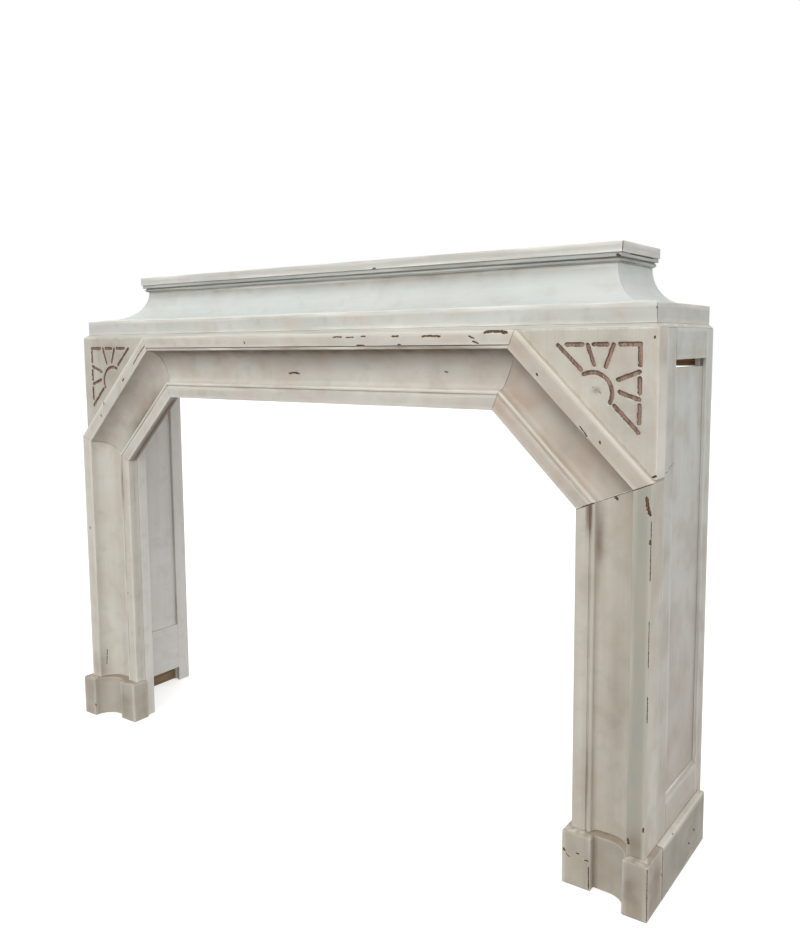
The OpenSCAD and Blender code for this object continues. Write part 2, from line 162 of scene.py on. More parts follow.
def paint(name, base, shade, warm, warmth, soil, worn="#eceae2", top=None, gloss=0.5, band=None):
    """Brushed oil paint on softwood.

    It lies thick, so it shows brush strokes along each board, clouds of old and new coats, dirt
    held in the quirks, paler arrises, partly rubbed by hands and partly a painted highlight, and dark bare
    wood where it has come off.
    """
    material = bpy.data.materials.new(name)
    material.use_nodes = True
    tree = material.node_tree
    tree.nodes.clear()
    place = add(tree, "ShaderNodeTexCoord", out="Object")
    board = add(tree, "ShaderNodeAttribute", out="Vector", attribute_name="board")
    arris, recess, stain, bare = [add(tree, "ShaderNodeAttribute", out="Fac", attribute_name=label)
                                  for label in ("arris", "recess", "stain", "bare")]
    # clouds some 200 mm across, and smaller ones of some 70 mm, from coats laid over each other
    coats, clouds = [add(tree, "ShaderNodeTexNoise", {"Vector": place, "Scale": scale, "Detail": 3.0,
                                                      "Roughness": rough})
                     for scale, rough in ((5.0, 0.6), (15.0, 0.5))]
    # brush strokes 1.5 mm apart and some 120 mm long, along the board, and their laps
    brushing = []
    for scale, rough in (((650.0, 650.0, 9.0), 0.6), ((60.0, 60.0, 3.5), 0.7)):
        drawn = add(tree, "ShaderNodeMapping", {"Vector": board, "Scale": scale})
        brushing.append(add(tree, "ShaderNodeTexNoise", {"Vector": drawn, "Scale": 1.0, "Detail": 3.0,
                                                         "Roughness": rough}))
    bristle, lap = brushing
    tone = add(tree, "ShaderNodeMapRange", {0: coats, 1: 0.38, 2: 0.64})
    laid = [(tone, shade)]
    if top:
        # a second, paler tone that takes over between two heights, in metres: painted light, brighter
        # higher up
        tint, foot, head = top
        rise = add(tree, "ShaderNodeSeparateXYZ", {0: place}, out="Z")
        laid.append((add(tree, "ShaderNodeMapRange", {0: rise, 1: foot, 2: head}), tint))
    if band:
        # the outer band is darker and greyer than the rest of the leg
        across = add(tree, "ShaderNodeSeparateXYZ", {0: board}, out="X")
        laid.append((add(tree, "ShaderNodeMath", {0: across, 1: 0.1305, 2: 0.0163},
                         operation="COMPARE"), band))
    blush = add(tree, "ShaderNodeMapRange", {0: clouds, 1: 0.46, 2: 0.78, 4: warmth})
    # thin places in the top coat, some 40 mm across, where an older grey-green one shows
    thin = add(tree, "ShaderNodeTexNoise", {"Vector": place, "Scale": 26.0, "Detail": 4.0,
                                            "Roughness": 0.55, "Distortion": 0.3})
    under = add(tree, "ShaderNodeMapRange", {0: thin, 1: 0.52, 2: 0.7, 4: warmth * 0.6})
    colour = coated(tree, linear(base), laid + [(blush, warm), (under, "#abaa9c")])
    laps = add(tree, "ShaderNodeMapRange", {0: lap, 1: 0.3, 2: 0.7, 3: 0.96, 4: 1.03})
    lines = add(tree, "ShaderNodeMapRange", {0: bristle, 1: 0.3, 2: 0.7, 3: 0.985, 4: 1.01})
    streak = add(tree, "ShaderNodeMath", {0: laps, 1: lines}, operation="MULTIPLY")
    colour = add(tree, "ShaderNodeVectorMath", {0: colour, "Scale": streak}, operation="SCALE")
    # grime in the quirks, stains where placed, some painted shade, and pale arrises: wear and painted
    # highlight
    patch = add(tree, "ShaderNodeMapRange", {0: clouds, 1: 0.35, 2: 0.7, 3: 0.35 * soil, 4: soil})
    held = add(tree, "ShaderNodeMath", {0: recess, 1: patch}, operation="MULTIPLY", use_clamp=True)
    ragged = add(tree, "ShaderNodeMapRange", {0: thin, 1: 0.3, 2: 0.7, 3: 0.8, 4: 1.02})
    ragged = add(tree, "ShaderNodeMath", {0: stain, 1: ragged}, operation="MULTIPLY", use_clamp=True)
    rubbed_and_highlit = add(tree, "ShaderNodeMapRange", {0: lap, 1: 0.38, 2: 0.62, 3: 0.1, 4: 0.9})
    rubbed_and_highlit = add(tree, "ShaderNodeMath", {0: rubbed_and_highlit, 1: arris}, operation="MULTIPLY")
    # fly specks of some 2 mm
    specks = add(tree, "ShaderNodeTexNoise", {"Vector": place, "Scale": 420.0, "Detail": 1.0})
    spot = add(tree, "ShaderNodeMapRange", {0: specks, 1: 0.74, 2: 0.80, 4: 0.4})
    # where the paint has come off: a pale rim of broken paint, then dark wood with its grain
    grain = add(tree, "ShaderNodeMapRange", {0: bristle, 1: 0.3, 2: 0.7})
    wood = coated(tree, linear("#3a2a1f"), [(grain, "#7b5c44")])
    rim = add(tree, "ShaderNodeMapRange", {0: bare, 1: 0.12, 2: 0.3, 4: 0.7})
    gone = add(tree, "ShaderNodeMapRange", {0: bare, 1: 0.32, 2: 0.5})
    colour = coated(tree, colour, [(held, "#7d6a58"), (ragged, "#6d5a46"), (rubbed_and_highlit, worn),
                                   (spot, "#8b7c6b"), (rim, "#d8d2c6"), (gone, wood)])
    rough = add(tree, "ShaderNodeMapRange", {0: clouds, 1: 0.3, 2: 0.7, 3: gloss - 0.07, 4: gloss + 0.12})
    rough = add(tree, "ShaderNodeMix", {0: gone, 2: rough, 3: 0.85}, data_type="FLOAT")
    relief = add(tree, "ShaderNodeMath", {0: lap, 1: 3.0, 2: bristle}, operation="MULTIPLY_ADD")
    bump = add(tree, "ShaderNodeBump", {"Height": relief, "Strength": 0.55, "Distance": 0.00012})
    shader = add(tree, "ShaderNodeBsdfPrincipled", {"Base Color": colour, "Roughness": rough,
                                                    "IOR": 1.48, "Normal": bump})
    add(tree, "ShaderNodeOutputMaterial", {"Surface": shader})
    return material


def softwood(name, early, late, dirt):
    """Planed and sawn pine left unpainted, with its growth rings along the board, gone brown."""
    material = bpy.data.materials.new(name)
    material.use_nodes = True
    tree = material.node_tree
    tree.nodes.clear()
    place = add(tree, "ShaderNodeTexCoord", out="Object")
    board = add(tree, "ShaderNodeAttribute", out="Vector", attribute_name="board")
    # rings 5 mm apart that wander slowly along the length
    drawn = add(tree, "ShaderNodeMapping", {"Vector": board, "Scale": (42.0, 42.0, 1.6)})
    rings = add(tree, "ShaderNodeTexNoise", {"Vector": drawn, "Scale": 1.0, "Detail": 1.0})
    phase = add(tree, "ShaderNodeMath", {0: rings, 1: 46.0}, operation="MULTIPLY")
    wave = add(tree, "ShaderNodeMath", {0: phase}, operation="SINE")
    late_wood = add(tree, "ShaderNodeMapRange", {0: wave, 1: -0.2, 2: 1.0})
    fine = add(tree, "ShaderNodeMapping", {"Vector": board, "Scale": (1100.0, 1100.0, 22.0)})
    fibre = add(tree, "ShaderNodeTexNoise", {"Vector": fine, "Scale": 1.0, "Detail": 3.0})
    blotch = add(tree, "ShaderNodeTexNoise", {"Vector": place, "Scale": 7.0, "Detail": 5.0,
                                              "Roughness": 0.6})
    weave = add(tree, "ShaderNodeMapRange", {0: fibre, 1: 0.3, 2: 0.7, 3: 0.82, 4: 1.1})
    colour = coated(tree, linear(early), [(late_wood, late)])
    colour = add(tree, "ShaderNodeVectorMath", {0: colour, "Scale": weave}, operation="SCALE")
    soiled = add(tree, "ShaderNodeMapRange", {0: blotch, 1: 0.42, 2: 0.75, 4: 0.75})
    colour = coated(tree, colour, [(soiled, dirt)])
    bump = add(tree, "ShaderNodeBump", {"Height": fibre, "Strength": 0.5, "Distance": 0.0002})
    shader = add(tree, "ShaderNodeBsdfPrincipled", {"Base Color": colour, "Roughness": 0.78,
                                                    "Normal": bump})
    add(tree, "ShaderNodeOutputMaterial", {"Surface": shader})
    return material


pine = softwood("planed_pine", "#a38a6c", "#876c51", "#5d4d40")
leg_paint = {
    "right": paint("oil_paint_right_leg", "#cdc9bf", "#c2bdb1", "#bbac9b", 0.6, 0.3, worn="#c4c0b4",
                   band="#a6a59b"),
    "left": paint("oil_paint_left_leg", "#d6d4cb", "#cecabf", "#c9bcac", 0.5, 0.3, worn="#e2e0d6"),
}


def section(corners, raw):
    """A closed outline from corners of (across, depth, radius) in mm, every corner rounded.

    Each point also gets how near it is to an outer corner, how near to an inner one, and whether
    it lies on the back, which was never painted.
    """
    turn = sum(a[0] * b[1] - b[0] * a[1] for a, b in zip(corners, corners[1:] + corners[:1]))
    if turn < 0:
        corners = corners[::-1]
    points, outer, inner = [], [], []
    for i, (x, y, radius) in enumerate(corners):
        here = Vector((x, y))
        before = (Vector(corners[i - 1][:2]) - here).normalized()
        after = (Vector(corners[(i + 1) % len(corners)][:2]) - here).normalized()
        half = before.angle(after) / 2
        bends_out = before.x * after.y - before.y * after.x < 0
        back = radius / math.tan(half)
        centre = here + (before + after).normalized() * radius / math.sin(half)
        start, end = here + before * back - centre, here + after * back - centre
        sweep = start.angle(end) * (1 if bends_out else -1)
        steps = max(3, math.ceil(abs(sweep) * max(radius, 3) ** 0.5 / 0.9))
        arc = [centre + Matrix.Rotation(sweep * k / steps, 2) @ start for k in range(steps + 1)]
        (outer if bends_out else inner).append((arc[len(arc) // 2], radius))
        if points:
            points += straight(points[-1], arc[0])
        points += arc
    points += straight(points[-1], points[0])
    near = [min([1e3] + [(p - c).length - r for c, r in outer]) for p in points]
    deep = [min([1e3] + [(p - c).length - r / 3 for c, r in inner if r < 5]) for p in points]
    arris = [math.exp(-max(0, d) / 1.0) for d in near]
    recess = [math.exp(-max(0, d) / 2.2) for d in deep]
    return points, arris, recess, [1.0 if raw(p.x, p.y) else 0.0 for p in points]


def straight(start, end, spacing=9):
    """The points between two ends of a flat, close enough for the paint's unevenness to show."""
    parts = int((end - start).length // spacing)
    return [start.lerp(end, (k + 1) / (parts + 1)) for k in range(parts)]


# The tree that runs a section along a length, cuts its ends to their mitres and wears its arrises.
runner = bpy.data.node_groups.new("moulded_length", "GeometryNodeTree")
for name, kind in (
    ("Section", "Geometry"), ("Run", "Float"), ("Low slope", "Float"), ("High slope", "Float"),
    ("Step", "Float"), ("Ease", "Float"), ("Seed", "Float"), ("Chip depth", "Float"),
    ("Chip share", "Float"), ("Unevenness", "Float"), ("Paint", "Material"), ("Back", "Material"),
):
    runner.interface.new_socket(name, in_out="INPUT", socket_type="NodeSocket" + kind)
runner.interface.new_socket("Piece", in_out="OUTPUT", socket_type="NodeSocketGeometry")
given = runner.nodes.new("NodeGroupInput").outputs
line = add(runner, "GeometryNodeCurvePrimitiveLine", {"Start": (0, 0, 0), "End": (0, 0, 1)})
count = add(runner, "ShaderNodeMath", {0: given["Run"], 1: given["Step"]}, operation="DIVIDE")
count = add(runner, "ShaderNodeMath", {0: count, 1: 2.0}, operation="ADD")
line = add(runner, "GeometryNodeResampleCurve", {"Curve": line, "Count": count})
# the rings stand closer together near both ends, where the edges are eased
share = add(runner, "GeometryNodeSplineParameter", out="Factor")
turn = add(runner, "ShaderNodeMath", {0: share, 1: 2 * math.pi}, operation="MULTIPLY")
turn = add(runner, "ShaderNodeMath", {0: turn}, operation="SINE")
share = add(runner, "ShaderNodeMath", {0: turn, 1: -0.85 / (2 * math.pi), 2: share},
            operation="MULTIPLY_ADD")
line = add(runner, "GeometryNodeStoreNamedAttribute", {"Geometry": line, "Name": "along", "Value": share})
loop = add(runner, "GeometryNodeMeshToCurve", {"Mesh": given["Section"]})
body = add(runner, "GeometryNodeCurveToMesh", {"Curve": line, "Profile Curve": loop, "Fill Caps": True})
spot, outward = [add(runner, "GeometryNodeInputNamedAttribute", {"Name": label}, data_type="FLOAT_VECTOR")
                 for label in ("section_at", "section_out")]
along, quirk, edge, unpainted = [add(runner, "GeometryNodeInputNamedAttribute", {"Name": label})
                                 for label in ("along", "recess", "arris", "raw")]
# each ring goes to its height, which slopes across the section at a mitred end
across, depth = [add(runner, "ShaderNodeSeparateXYZ", {0: spot}, out=axis) for axis in "XY"]
low_end = add(runner, "ShaderNodeMath", {0: across, 1: given["Low slope"]}, operation="MULTIPLY")
high_end = add(runner, "ShaderNodeMath", {0: across, 1: given["High slope"], 2: given["Run"]},
               operation="MULTIPLY_ADD")
level_at = add(runner, "ShaderNodeMix", {0: along, 2: low_end, 3: high_end}, data_type="FLOAT")
cut = add(runner, "ShaderNodeCombineXYZ", {0: across, 1: depth, 2: level_at})
body = add(runner, "GeometryNodeSetPosition", {"Geometry": body, "Position": cut})
# the last rings draw in to a quarter round, and grime sits in the joint
rest = add(runner, "ShaderNodeMath", {0: along, 1: 0.5}, operation="PINGPONG")
rest = add(runner, "ShaderNodeMath", {0: rest, 1: given["Run"]}, operation="MULTIPLY")
short = add(runner, "ShaderNodeMath", {0: given["Ease"], 1: rest}, operation="SUBTRACT")
short = add(runner, "ShaderNodeMath", {0: short, 1: 0.0}, operation="MAXIMUM")
short_squared, ease_squared = [add(runner, "ShaderNodeMath", {0: value, 1: value}, operation="MULTIPLY")
                               for value in (short, given["Ease"])]
drawn_in = add(runner, "ShaderNodeMath", {0: ease_squared, 1: short_squared}, operation="SUBTRACT")
drawn_in = add(runner, "ShaderNodeMath", {0: drawn_in}, operation="SQRT")
drawn_in = add(runner, "ShaderNodeMath", {0: drawn_in, 1: given["Ease"]}, operation="SUBTRACT")
drawn_in = add(runner, "ShaderNodeVectorMath", {0: outward, "Scale": drawn_in}, operation="SCALE")
grime = add(runner, "ShaderNodeMapRange", {0: rest, 2: 0.0011, 3: 0.9, 4: 0.0})
grime = add(runner, "ShaderNodeMath", {0: grime, 1: quirk}, operation="MAXIMUM")
body = add(runner, "GeometryNodeStoreNamedAttribute", {"Geometry": body, "Name": "recess", "Value": grime})
body = add(runner, "GeometryNodeSetPosition", {"Geometry": body, "Offset": drawn_in})
here = add(runner, "GeometryNodeInputPosition")
body = add(runner, "GeometryNodeStoreNamedAttribute", {"Geometry": body, "Name": "board", "Value": here},
           data_type="FLOAT_VECTOR")
# small bites out of the arrises, down to bare wood, and faces that aren't quite flat
shift = add(runner, "ShaderNodeCombineXYZ", {0: given["Seed"], 2: given["Seed"]})
field = add(runner, "ShaderNodeVectorMath", {0: here, 1: shift}, operation="ADD")
bites, swell = [add(runner, "ShaderNodeTexNoise", {"Vector": field, "Scale": scale, "Detail": 2.0})
                for scale in (85.0, 11.0)]
bite = add(runner, "ShaderNodeMath", {0: bites, 1: given["Chip share"]}, operation="SUBTRACT")
bite = add(runner, "ShaderNodeMath", {0: bite, 1: 9.0}, operation="MULTIPLY", use_clamp=True)
bite = add(runner, "ShaderNodeMath", {0: bite, 1: edge}, operation="MULTIPLY")
body = add(runner, "GeometryNodeStoreNamedAttribute", {"Geometry": body, "Name": "bare", "Value": bite})
bite = add(runner, "ShaderNodeMath", {0: bite, 1: given["Chip depth"]}, operation="MULTIPLY")
inward = add(runner, "ShaderNodeMath", {0: swell, 1: given["Unevenness"], 2: bite},
             operation="MULTIPLY_ADD")
inward = add(runner, "ShaderNodeMath", {0: inward, 1: -1.0}, operation="MULTIPLY")
facing = add(runner, "GeometryNodeInputNormal")
sink = add(runner, "ShaderNodeVectorMath", {0: facing, "Scale": inward}, operation="SCALE")
body = add(runner, "GeometryNodeSetPosition", {"Geometry": body, "Offset": sink})
body = add(runner, "GeometryNodeRealizeInstances", {"Geometry": body})
body = add(runner, "GeometryNodeSetMaterial", {"Geometry": body, "Material": given["Paint"]})
unpainted = add(runner, "FunctionNodeCompare", {0: unpainted, 1: 0.999}, data_type="FLOAT",
                operation="GREATER_EQUAL")
body = add(runner, "GeometryNodeSetMaterial", {"Geometry": body, "Selection": unpainted,
                                               "Material": given["Back"]})
add(runner, "NodeGroupOutput", {0: body})
sockets = {item.name: item.identifier for item in runner.interface.items_tree if item.in_out == "INPUT"}


def place(origin, across, depth, along, mirrored=False):
    """The matrix that lays a length, in its own axes, into the object. Origin is in mm."""
    matrix = Matrix((Vector(across), Vector(depth), Vector(along))).transposed().to_4x4()
    matrix = Matrix.Translation(Vector(origin) * MM) @ matrix
    return (Matrix.Scale(-1, 4, (1, 0, 0)) @ matrix) if mirrored else matrix


def moulded(name, outline, run, where, finish, low=0.0, high=0.0, step=3.0, seed=0.0, chips=0.9,
            chip_share=0.74, uneven=0.25, back=pine, stains=(), scars=(), ease=0.2):
    """One length of timber with that section, laid in place, which stands for its CAD node."""
    points, arris, recess, raw = outline
    mesh = bpy.data.meshes.new(name)
    count = len(points)
    mesh.from_pydata([(p.x * MM, p.y * MM, 0) for p in points],
                     [(i, (i + 1) % count) for i in range(count)], [])
    values = mesh.attributes.new("section_at", "FLOAT_VECTOR", "POINT")
    values.data.foreach_set("vector", [c * MM for p in points for c in (p.x, p.y, 0)])
    runs = [(points[(i + 1) % count] - points[i - 1]).normalized() for i in range(count)]
    values = mesh.attributes.new("section_out", "FLOAT_VECTOR", "POINT")
    values.data.foreach_set("vector", [c for t in runs for c in (t.y, -t.x, 0)])
    for label, series in (("arris", arris), ("recess", recess), ("raw", raw)):
        mesh.attributes.new(label, "FLOAT", "POINT").data.foreach_set("value", series)
    piece = stand(name, mesh)
    modifier = piece.modifiers.new("run", "NODES")
    modifier.node_group = runner
    for label, value in (("Run", run * MM), ("Low slope", low), ("High slope", high),
                         ("Step", step * MM), ("Ease", ease * MM), ("Seed", float(seed)),
                         ("Chip depth", chips * MM), ("Chip share", chip_share),
                         ("Unevenness", uneven * MM), ("Paint", finish), ("Back", back)):
        modifier[sockets[label]] = value
    graph = bpy.context.evaluated_depsgraph_get()
    solid = bpy.data.meshes.new_from_object(piece.evaluated_get(graph), preserve_all_data_layers=True,
                                            depsgraph=graph)
    piece.modifiers.remove(modifier)
    piece.data = solid
    solid.transform(where)
    finished(piece, stains, scars)
    return piece


def finished(piece, stains=(), scars=()):
    """Adds a piece's stains, some of them painted shade, and its scars, and hands it to the object."""
    work = bmesh.new()
    work.from_mesh(piece.data)
    bmesh.ops.recalc_face_normals(work, faces=work.faces[:])
    work.normal_update()
    spots = work.verts.layers.float.get("stain") or work.verts.layers.float.new("stain")
    for centre, reach, strength in stains:
        centre, reach = Vector(centre) * MM, Vector(reach) * MM
        for v in work.verts:
            away = v.co - centre
            away = Vector((away.x / reach.x, away.y / reach.y, away.z / reach.z)).length
            if away < 2:
                grit = 0.9 + 0.25 * noise.noise(v.co * 40)
                v[spots] += strength * math.exp(-away * away * 1.5) * grit
    for scar in scars:
        broken(work, *scar)
    work.to_mesh(piece.data)
    work.free()
    piece.data.shade_smooth()
    piece.data.set_sharp_from_angle(angle=math.radians(38))
    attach(piece, "root")
    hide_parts(piece.name.replace("_timber", ""))


def broken(work, line, half, depth, out=(0, -1, 0), ragged=0.6, strength=1.0):
    """A chip, crack or nail hole: along a line of points in mm, half as wide as half, sunk by depth."""
    out = Vector(out).normalized()
    line = [Vector(p) * MM for p in line]
    half, depth = half * MM, depth * MM
    centre = sum(line, Vector()) / len(line)
    radius = max((p - centre).length for p in line) + half * 3 + 0.012
    bare = work.verts.layers.float.get("bare") or work.verts.layers.float.new("bare")

    def away(spot):
        """How far a point on the struck face is from the line."""
        best = 1e9
        for a, b in zip(line, line[1:] or line):
            run = b - a
            t = 0 if run.length_squared == 0 else max(0, min(1, (spot - a).dot(run) / run.length_squared))
            gap = spot - a - run * t
            level = gap.dot(out)
            if abs(level) < 0.006:
                best = min(best, (gap - out * level).length)
        return best

    def close():
        """The vertices of the struck face that lie near the line, among them the ones just made."""
        work.normal_update()
        return [v for v in work.verts if (v.co - centre).length < radius and v.normal.dot(out) > 0.25
                and away(v.co) < half * 3 + 0.012]

    fine = min(max(half * 0.55, 0.0004), 0.0018)
    for _ in range(6):
        edges = []
        for e in {e for v in close() for e in v.link_edges}:
            size = e.calc_length()
            if size > fine and min(away(e.verts[0].co), away(e.verts[1].co),
                                   away((e.verts[0].co + e.verts[1].co) / 2)) < half * 1.5 + size * 0.5:
                edges.append(e)
        if not edges:
            break
        bmesh.ops.subdivide_edges(work, edges=edges, cuts=1, use_grid_fill=True)
    for v in close():
        gap = away(v.co) / half
        gap += ragged * (noise.noise(v.co * 260) + 0.5 * noise.noise(v.co * 700))
        cover = max(0.0, min(1.0, (1.15 - gap) / 0.35))
        if cover > 0:
            cover = cover * cover * (3 - 2 * cover)
            v.co -= out * depth * cover
            v[bare] = max(v[bare], cover * strength)


def box(node):
    """The low and high corners of a CAD node, in mm."""
    return [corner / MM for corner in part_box(node)]


leg_low, leg_high = box("leg_right")
half_width = leg_high.x
architrave = leg_high.x - leg_low.x         # from the opening to the outer edge
front, frame_back = leg_low.y, leg_high.y   # the legs' front face, and the front frame's back
plinth_top = leg_low.z
frame_d = frame_back - front
tilt = math.tan(math.radians(22.5))
low_mitre = leg_high.z - architrave * tilt  # where the leg's mitre meets the opening
# across from the opening: a flat band, a quirk half filled with paint, a bead, the hollow, and the
# outer band. The inner band and the hollow's foot are set back from the front.
band_w, quirk_to, bead_to, hollow_to = 26, 29, 36.5, 114
band_set, hollow_set, quirk_left = 29.5, 45, 2.2
face_parts = [(0, band_set, 1.0), (band_w, band_set, 0.6), (band_w, band_set + quirk_left, 0.5),
              (quirk_to, band_set + quirk_left, 0.5), (quirk_to, band_set, 1.9),
              (bead_to, band_set, 3.7), (bead_to, hollow_set, 12)]
architrave_section = section(
    face_parts + [(hollow_to, hollow_set, 43.6), (hollow_to, 0, 1.3), (architrave, 0, 1.6),
                  (architrave, frame_d, 0.6), (0, frame_d, 0.6)],
    lambda u, v: v > frame_d - 0.7,
)
X, Y, Z = Vector((1, 0, 0)), Vector((0, 1, 0)), Vector((0, 0, 1))
SIDES = (("right", False), ("left", True))
# the leg's surface along its mitre, from the opening outwards
mitre_line = [(leg_low.x + u, front + v, low_mitre + u * tilt - 0.6) for u, v in (
    (0, band_set), (band_w, band_set), (33, band_set), (37, 40), (45, 44), (58, hollow_set),
    (72, hollow_set), (84, 42.6), (93, 38.6), (102, 31.4), (108, 23), (112, 12), (hollow_to, 1),
    (147, 0))]
hollow_foot = front + hollow_set
outer = half_width - 4   # just inside the outer arris
leg_marks = {
    "right": (
        [((leg_low.x + 27, front + 32, 690), (5, 14, 46), 2.2),
         ((leg_low.x + 40, hollow_foot, 640), (9, 16, 70), 0.8),
         ((half_width - 20, front, 118), (40, 14, 36), 0.6),
         ((leg_low.x + 74, hollow_foot, 330), (22, 12, 210), 0.3),
         ((leg_low.x + 30, front + 32, 200), (9, 12, 110), 0.7)],
        [(mitre_line[:4], 1.2, 1.2, -Y, 0.5), (mitre_line[3:8], 0.8, 1.0, -Y, 0.5),
         (mitre_line[7:], 0.7, 1.0, -Y, 0.5),
         ([(682, hollow_foot, 716), (684, hollow_foot, 713)], 2.4, 1.4),
         ([(outer - 6, front, 727), (outer - 5, front, 715), (outer, front, 700)], 2.8, 1.6),
         ([(outer + 1, front, 657), (outer + 1, front, 652)], 1.8, 1.2, -Y, 0.5),
         ([(outer + 2.5, front, 690), (outer + 2.5, front, 590)], 0.7, 0.6, -Y, 0.8),
         ([(outer + 2.5, front, 520), (outer + 2.5, front, 440)], 0.6, 0.6, -Y, 0.8),
         ([(outer + 2.5, front, 390), (outer + 2.5, front, 345)], 0.7, 0.6, -Y, 0.8),
         ([(outer, front, 156), (outer, front, 150)], 1.7, 1.2, -Y, 0.5),
         ([(leg_low.x + 117, front, 128), (leg_low.x + 118, front, 121)], 2.4, 1.4)],
    ),
    "left": (
        [((-half_width + 30, front, 130), (40, 30, 40), 0.4),
         ((-leg_low.x - 30, front + 33, 640), (10, 14, 60), 0.8)],
        [([(-691.5, front, 652), (-692, front, 610)], 0.7, 0.7, -Y, 0.7),
         ([(-691.5, front, 560), (-691.6, front, 525)], 0.6, 0.7, -Y, 0.7),
         ([(-748, front, 509), (-748, front, 505)], 1.6, 1.0, -Y, 0.5),
         ([(-722, front + 19, 172), (-724, front + 17, 132)], 0.8, 0.8, X - Y, 0.6),
         ([(-leg_low.x, front + 44, 640), (-leg_low.x, front + 45, 560)], 0.6, 0.3, X, 0.7, 0.4),
         ([(-leg_low.x, front + 45, 470), (-leg_low.x, front + 46, 400)], 0.6, 0.3, X, 0.7, 0.3),
         ([(-leg_low.x, front + 42, 245), (-leg_low.x, front + 41, 223)], 0.9, 0.3, X, 0.6, 0.4)],
    ),
}
for side, mirrored in SIDES:
    stains, scars = leg_marks[side]
    moulded("leg_%s_timber" % side, architrave_section, low_mitre - plinth_top - 0.4,
            place((leg_low.x, front, plinth_top + 0.2), X, Y, Z, mirrored),
            leg_paint[side], high=tilt, seed=3 + mirrored, stains=stains, scars=scars)

# ---- corner pieces ----
# Short lengths of the same architrave, mitred at both ends and dowelled to the legs and lintel.

frame_paint = paint("oil_paint_frame", "#d2d0c8", "#c7c4bb", "#c3b0a3", 0.6, 0.25, worn="#e4e2d9")
slope_up, slope_out = (Z - X).normalized(), (X + Z).normalized()
slant = (box("lintel")[0].z - low_mitre) * math.sqrt(2)
corner_marks = {
    "right": (
        [((600, hollow_foot, 850), (40, 20, 60), 0.2)],
        [([(551, front, 930.5), (552, front, 928)], 1.6, 2.0, -Y, 0.4),
         ([(669, front, 817), (670, front, 814)], 1.7, 2.0, -Y, 0.4),
         ([(633.5, front, 841), (640, front, 833), (646, front, 825)], 1.1, 1.6, -Y, 0.7)],
    ),
    "left": (
        # the three marks 52 mm deep are painted shade, darkening the corner piece's underside
        [((-560, hollow_foot, 850), (60, 20, 80), 0.15), ((-575, front + 52, 731), (60, 13, 60), 2.5),
         ((-530, front + 52, 776), (60, 13, 60), 2.5), ((-480, front + 52, 826), (60, 13, 60), 2.5)],
        [([(-585, front, 905), (-588, front, 900)], 2.2, 1.4),
         ([(-501, front, 986), (-525, front, 964), (-545, front, 942)], 1.1, 1.4, -Y, 0.8),
         ([(-668, front, 842), (-668, front, 839)], 1.9, 1.8, -Y, 0.5),
         ([(-681, front, 812), (-681, front, 807)], 1.9, 1.8, -Y, 0.5)],
    ),
}
corner_paint = {
    "right": paint("oil_paint_right_corner", "#c8c2b7", "#c0b5a9", "#b9a090", 0.8, 0.3, worn="#e0ddd2"),
    "left": frame_paint,
}
for side, mirrored in SIDES:
    stains, scars = corner_marks[side]
    start = Vector((leg_low.x, front, low_mitre)) + slope_up * 0.2
    moulded("corner_piece_%s_timber" % side, architrave_section, slant - 0.5,
            place(start, slope_out, Y, slope_up, mirrored), corner_paint[side], low=-tilt, high=tilt,
            seed=7 + mirrored, stains=stains, scars=scars)

# ---- lintel ----
# The same moulding laid level between the corner pieces. It is worked in two boards: the band along
# its top is a strip glued on behind a narrow fillet, and their joint has opened.

lintel_low, lintel_high = box("lintel")
lintel_run = 2 * (leg_low.x - slant / math.sqrt(2))
lintel_w = lintel_high.z - lintel_low.z
lintel_section = section(
    face_parts + [(hollow_to, hollow_set, 41.6), (hollow_to, 2, 1.0), (lintel_w - 0.9, 2, 0.5),
                  (lintel_w - 0.9, frame_d, 0.6), (0, frame_d, 0.6)],
    lambda u, v: v > frame_d - 0.7,
)
start = (lintel_run / 2 - 0.3, front, lintel_low.z)
moulded("lintel_timber", lintel_section, lintel_run - 0.6, place(start, Z, Y, -X), frame_paint,
        low=-tilt, high=tilt, seed=11,
        # painted shade: brown darkening along the top of the hollow, under the band's overhang
        stains=[((x, front + 16, 978), (150, 30, 20), 0.8) for x in range(-420, 421, 140)],
        scars=[([(-70, hollow_foot, 923), (-55, hollow_foot, 925), (-41, hollow_foot, 923.5)],
                1.9, 1.4, -Y, 0.7),
               ([(334, hollow_foot, 930.5), (340, hollow_foot, 930)], 1.3, 0.8)])
band_section = section(
    [(lintel_w, 0, 0.8), (architrave, 0, 1.2), (architrave, frame_d, 0.6), (lintel_w, frame_d, 0.6)],
    lambda u, v: v > frame_d - 0.7,
)
moulded("lintel_band_timber", band_section, lintel_run - 0.6, place(start, Z, Y, -X), frame_paint,
        low=-tilt, high=tilt, seed=13, chip_share=0.7, scars=[
            (line, half, 1.2, -Y, 0.7) for line, half in (
                ([(-161, front, 993), (-160, front, 990)], 1.6),
                ([(93, front, 1000), (104, front, 1001), (114, front, 1000)], 1.2),
                ([(127, front, 999.5), (145, front, 999.5)], 1.0),
                ([(165, front, 1001), (175, front, 1001)], 1.2),
                ([(241, front, 1000), (255, front, 1000)], 1.7),
                ([(311, front, 999), (330, front, 1000), (351, front, 998.6)], 1.7),
                ([(414, front, 998), (424, front, 994)], 1.3),
                ([(420, front, 989), (433, front, 985)], 1.5),
                ([(448, front, 1004.5), (462, front, 1006.5), (478, front, 1006),
                  (490, front, 1003.5)], 2.9),
                ([(152, front, 983.6), (172, front, 983.4)], 1.0),
                ([(255, front, 984), (260, front, 983.6)], 1.2))])

# ---- plinth blocks ----
# Blocks cut from solid softwood with the legs' hollow carried down through them. They stand proud
# of the legs on three sides, and their top edges are rounded over and rubbed.

